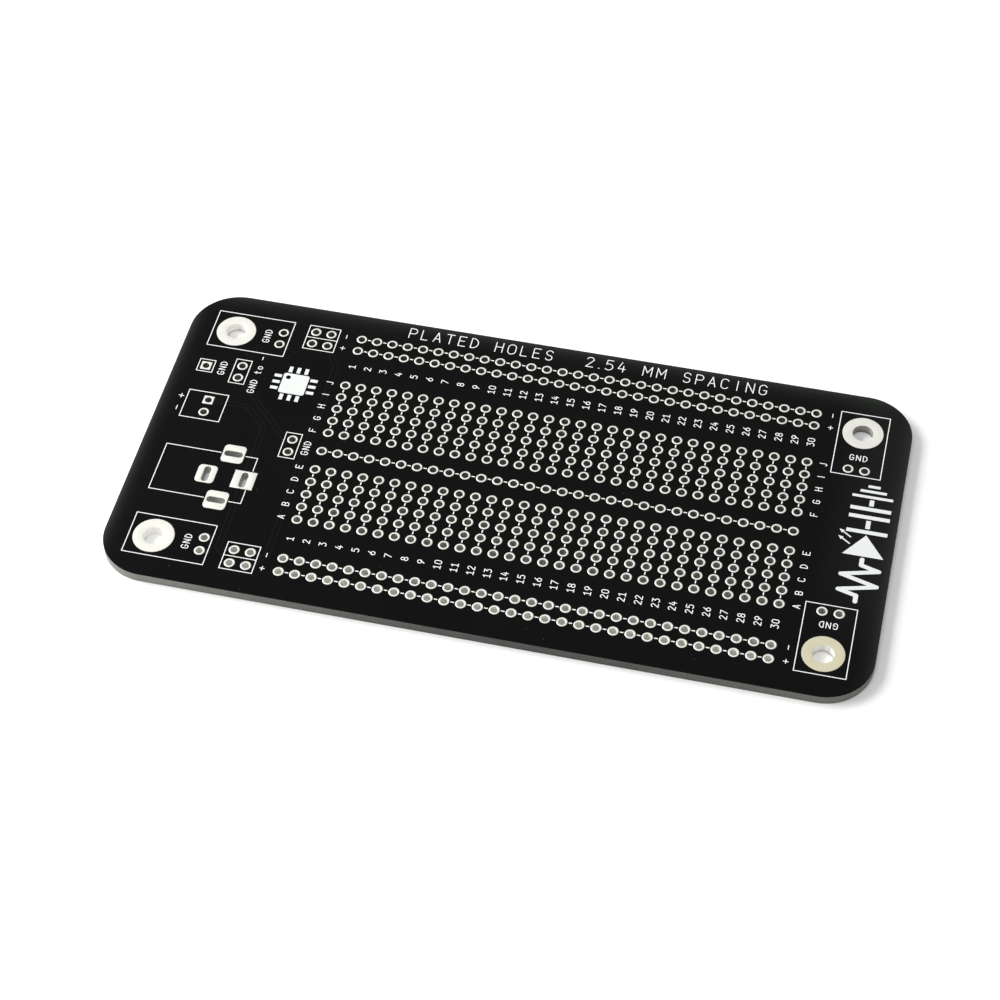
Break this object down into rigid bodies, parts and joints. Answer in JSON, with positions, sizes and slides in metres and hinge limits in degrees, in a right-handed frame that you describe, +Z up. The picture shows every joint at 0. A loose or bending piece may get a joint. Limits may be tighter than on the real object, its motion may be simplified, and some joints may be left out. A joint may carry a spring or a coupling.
{
  "type": "solderable prototype board",
  "caption": "Black solderable prototype board in a half-size breadboard layout, with numbered terminal columns, supply rails, power input pads and corner mounting holes.",
  "frame": {"origin": "centre of the underside of the board", "axes": "+X along the numbered columns from 1 to 30, +Y from row A to row J, +Z up through the board to the printed face"},
  "size_m": [0.1168, 0.0584, 0.0016],
  "materials": {
    "glass_epoxy": "sawn glass epoxy edge",
    "solder_mask": "semi-gloss black solder mask",
    "tinned_copper": "bright hot-air-levelled tin over copper",
    "bare_copper": "etched copper under the mask",
    "legend_ink": "matt white printed ink"
  },
  "bodies": {
    "root": {"bottom_minus_rail": "tinned_copper", "bottom_plus_rail": "tinned_copper", "chip_symbol": "legend_ink", "circuit_symbols": "legend_ink", "column_numbers_lower": "legend_ink", "column_numbers_upper": "legend_ink", "connector_outlines": "legend_ink", "ground_header_pads": "tinned_copper", "ground_labels": "legend_ink", "ground_link_pads": "tinned_copper", "ground_pads_front_left": "tinned_copper", "ground_pads_front_right": "tinned_copper", "ground_pads_rear_left": "tinned_copper", "ground_pads_rear_right": "tinned_copper", "ground_post_pad": "tinned_copper", "ground_rail": "tinned_copper", "jack_pad_centre_blade": "tinned_copper", "jack_pad_side_front": "tinned_copper", "jack_pad_side_rear": "tinned_copper", "jack_pad_sleeve_blade": "tinned_copper", "link_marks_rails": "legend_ink", "link_marks_strips": "legend_ink", "mounting_pad_front_left": "tinned_copper", "mounting_pad_front_right": "tinned_copper", "mounting_pad_rear_left": "tinned_copper", "mounting_pad_rear_right": "tinned_copper", "polarity_marks": "legend_ink", "row_letters": "legend_ink", "screw_terminal_pad_minus": "tinned_copper", "screw_terminal_pad_plus": "tinned_copper", "solder_mask_bottom": "solder_mask", "solder_mask_top": "solder_mask", "terminal_strips_lower_01_05": "tinned_copper", "terminal_strips_lower_06_10": "tinned_copper", "terminal_strips_lower_11_15": "tinned_copper", "terminal_strips_lower_16_20": "tinned_copper", "terminal_strips_lower_21_25": "tinned_copper", "terminal_strips_lower_26_30": "tinned_copper", "terminal_strips_upper_01_05": "tinned_copper", "terminal_strips_upper_06_10": "tinned_copper", "terminal_strips_upper_11_15": "tinned_copper", "terminal_strips_upper_16_20": "tinned_copper", "terminal_strips_upper_21_25": "tinned_copper", "terminal_strips_upper_26_30": "tinned_copper", "title_line": "legend_ink", "top_minus_rail": "tinned_copper", "top_plus_rail": "tinned_copper", "trace_ground_link": "bare_copper", "trace_jack_to_rail": "bare_copper", "trace_rail_link": "bare_copper", "trace_terminal_to_jack": "bare_copper", "woven_glass_core": "glass_epoxy"}
  },
  "joints": []
}
